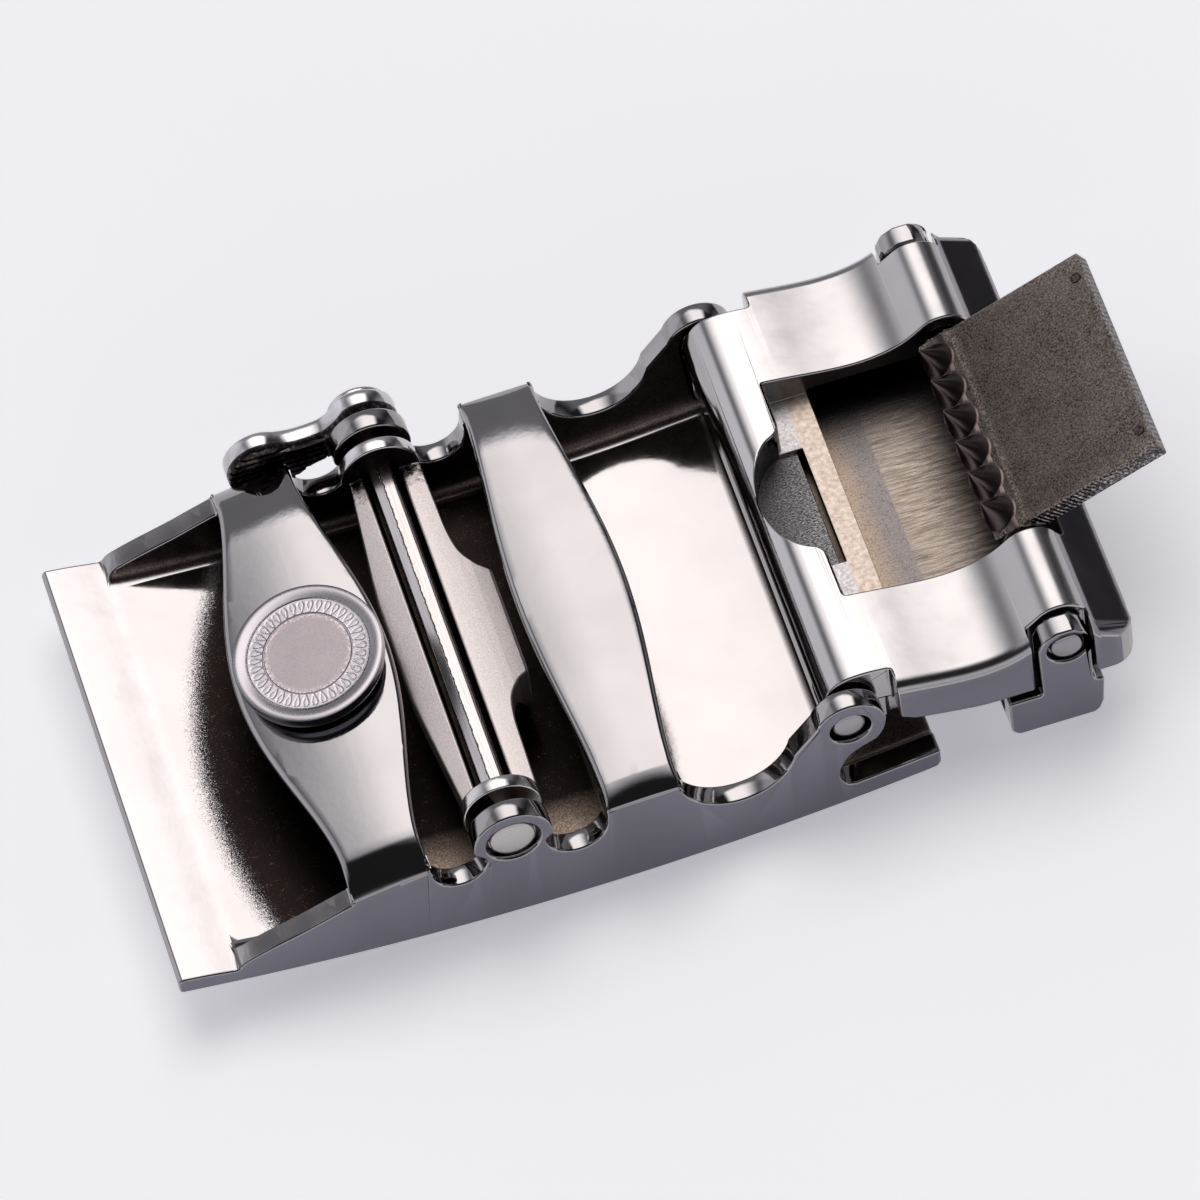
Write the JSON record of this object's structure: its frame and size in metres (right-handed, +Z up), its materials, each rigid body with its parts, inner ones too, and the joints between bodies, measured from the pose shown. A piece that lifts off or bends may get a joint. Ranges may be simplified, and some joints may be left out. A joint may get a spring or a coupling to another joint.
{
  "type": "ratchet belt buckle",
  "caption": "Metal belt buckle with a bowed face plate, a lever-released ratchet tongue for the belt's free end, and a hinged sleeve with a toothed flap that bites the cut end of the strap.",
  "frame": {"origin": "middle of the bounding box's underside, with the buckle lying on its bowed face as it rests by itself", "axes": "+X along the belt from the end that the belt's tip enters to the end that clamps the strap, +Y across the belt towards the release lever, +Z up, away from the surface under the bowed face"},
  "size_m": [0.0816, 0.0436, 0.016],
  "materials": {
    "frame_chrome": "polished dark nickel plate",
    "disc_satin": "satin, brushed in circles",
    "pawl_satin": "fine satin",
    "rod_bright": "bright drawn rod",
    "lever_chrome": "polished dark plate",
    "box_chrome": "polished nickel plate",
    "rivet_steel": "turned rivet heads",
    "flap_blasted": "blasted, matt dark plate",
    "keeper_chrome": "polished dark plate"
  },
  "bodies": {
    "frame": {"frame": "frame_chrome", "emblem_disc": "disc_satin"},
    "pawl": {"pawl": "pawl_satin", "pawl_axle": "rod_bright", "release_lever": "lever_chrome"},
    "clamp": {"clamp_box": "box_chrome", "clamp_pin_near": "rivet_steel", "clamp_pin_far": "rivet_steel", "hinge_pin": "rivet_steel", "keeper": "keeper_chrome"},
    "flap": {"jaw_flap": "flap_blasted"}
  },
  "joints": [
    {"name": "pawl_pivot", "type": "hinge", "parent": "frame", "child": "pawl", "pos_m": [-0.01407, -0.00145, 0.00924], "axis": [0, -1, 0], "range_deg": [0, 20], "stiffness_Nm_per_rad": 0.02, "springref_deg": -20.05},
    {"name": "clamp_pivot", "type": "hinge", "parent": "frame", "child": "clamp", "pos_m": [0.01201, -0.00145, 0.00887], "axis": [0, -1, 0], "range_deg": [-25, 85]},
    {"name": "flap_hinge", "type": "hinge", "parent": "clamp", "child": "flap", "pos_m": [0.029, -0.00145, 0.01018], "axis": [0, -1, 0], "range_deg": [0, 156]}
  ]
}
